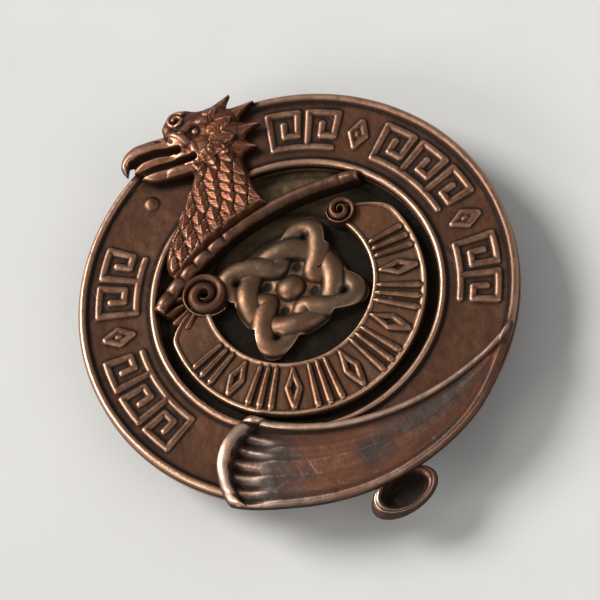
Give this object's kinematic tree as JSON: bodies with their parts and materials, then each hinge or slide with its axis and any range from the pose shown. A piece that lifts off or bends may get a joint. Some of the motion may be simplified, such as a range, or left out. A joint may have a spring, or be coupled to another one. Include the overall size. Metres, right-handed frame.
{
  "type": "cap badge",
  "caption": "Round layered bronze cap badge: strap ring with a lapped scroll, eagle's head, inner ribbon, pierced knot, brooch pin with roll-over catch.",
  "frame": {"origin": "centre of the back plate's back face, where it lies on the cloth", "axes": "+Z out of the badge's face, +Y to the badge's top, where the eagle's head is"},
  "size_m": [0.055, 0.0624, 0.0104],
  "materials": {
    "dark_bronze": "dark brown bronze patina, worn paler on raised edges, satin",
    "plate_bronze": "dark brown bronze patina, matt, dirt in the recesses",
    "ribbon_bronze": "brown bronze patina, satin",
    "knot_bronze": "dark brown bronze patina, satin",
    "eagle_copper": "reddish copper patina, worn pinkish on high points",
    "rivet_copper": "copper, lightly tarnished",
    "fitting_brass": "yellow brass, lightly tarnished",
    "pin_steel": "drawn steel wire"
  },
  "bodies": {
    "badge": {"back_plate": "plate_bronze", "strap_ring": "dark_bronze", "strap_scroll": "dark_bronze", "strap_tip": "dark_bronze", "motto_ribbon": "ribbon_bronze", "centre_knot": "knot_bronze", "perch_bar": "dark_bronze", "eagle": "eagle_copper", "hinge_bracket": "fitting_brass", "hinge_rivet": "fitting_brass", "catch_bracket": "fitting_brass", "ring_rivet_1": "rivet_copper", "ring_rivet_2": "rivet_copper", "ring_rivet_3": "rivet_copper", "ring_rivet_4": "rivet_copper", "scroll_rivet_1": "rivet_copper", "scroll_rivet_2": "rivet_copper", "tip_rivet": "rivet_copper", "ribbon_rivet_1": "rivet_copper", "ribbon_rivet_2": "rivet_copper", "knot_rivet_1": "rivet_copper", "knot_rivet_2": "rivet_copper", "bar_rivet_1": "rivet_copper", "bar_rivet_2": "rivet_copper", "eagle_rivet_1": "rivet_copper", "eagle_rivet_2": "rivet_copper"},
    "pin": {"brooch_pin": "pin_steel"},
    "catch_roller": {"catch_roller": "fitting_brass"}
  },
  "joints": [
    {"name": "pin_hinge", "type": "hinge", "parent": "badge", "child": "pin", "pos_m": [-0.02, 0.009, -0.0032], "axis": [0, 1, 0], "range_deg": [0, 75]},
    {"name": "catch_turn", "type": "hinge", "parent": "badge", "child": "catch_roller", "pos_m": [0.02, 0.009, -0.0032], "axis": [1, 0, 0], "range_deg": [0, 120]}
  ]
}
